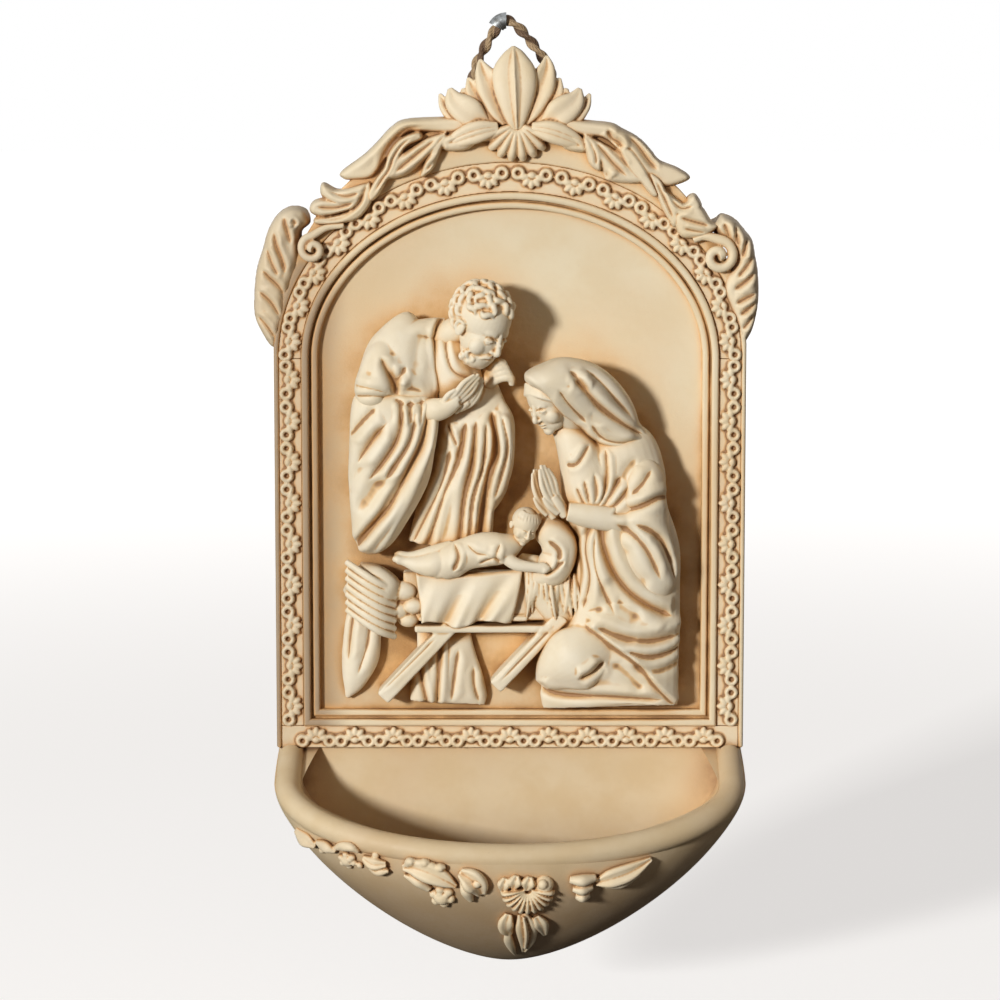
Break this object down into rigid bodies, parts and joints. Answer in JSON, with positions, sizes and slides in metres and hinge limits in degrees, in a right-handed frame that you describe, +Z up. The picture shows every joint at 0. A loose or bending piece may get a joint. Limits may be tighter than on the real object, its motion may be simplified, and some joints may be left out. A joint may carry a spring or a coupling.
{
  "type": "holy water stoup",
  "caption": "Wall-hung holy water stoup: arched plaque with a nativity relief in a floret border, leafy crest, half-round bowl and a cord loop to hang it.",
  "frame": {"origin": "on the flat back face, midway across the plaque and 65.9 mm above the plaque's foot", "axes": "+Z up, +Y out of the back face towards the wall, the front looks towards -Y, +X to the right seen from the front"},
  "size_m": [0.1313, 0.0579, 0.2515],
  "materials": {
    "plaque_alabaster": "satin cast alabaster with an antique wash",
    "ornament_alabaster": "satin cast alabaster with an antique wash in the hollows",
    "relief_alabaster": "satin cast alabaster with an antique wash in the folds",
    "bowl_alabaster": "satin cast alabaster with an antique wash",
    "cord": "two twisted strands, waxed",
    "ferrule": "dull grey metal"
  },
  "bodies": {
    "stoup": {"back_plaque": "plaque_alabaster", "niche_moulding": "ornament_alabaster", "border_bottom": "ornament_alabaster", "border_left": "ornament_alabaster", "border_right": "ornament_alabaster", "border_arch": "ornament_alabaster", "crest_palmette": "ornament_alabaster", "crest_gadroon": "ornament_alabaster", "crest_bud_left": "ornament_alabaster", "crest_bud_right": "ornament_alabaster", "garland_left": "ornament_alabaster", "garland_right": "ornament_alabaster", "spray_left": "ornament_alabaster", "spray_right": "ornament_alabaster", "volute_left": "ornament_alabaster", "volute_right": "ornament_alabaster", "wing_left": "ornament_alabaster", "wing_right": "ornament_alabaster", "manger": "relief_alabaster", "manger_cloth": "relief_alabaster", "child_figure": "relief_alabaster", "kneeling_figure": "relief_alabaster", "standing_figure": "relief_alabaster", "standing_hem": "relief_alabaster", "manger_straw": "relief_alabaster", "bowl_shell": "bowl_alabaster", "bowl_fan": "ornament_alabaster", "bowl_pendant": "ornament_alabaster", "bowl_leaf_left": "ornament_alabaster", "bowl_leaf_right": "ornament_alabaster", "bowl_string": "ornament_alabaster"},
    "hanging_loop": {"hanging_cord": "cord", "loop_ferrule": "ferrule"}
  },
  "joints": [
    {"name": "loop_swing", "type": "hinge", "parent": "stoup", "child": "hanging_loop", "pos_m": [0, -0.004, 0.107], "axis": [-1, 0, 0], "range_deg": [0, 120]}
  ]
}
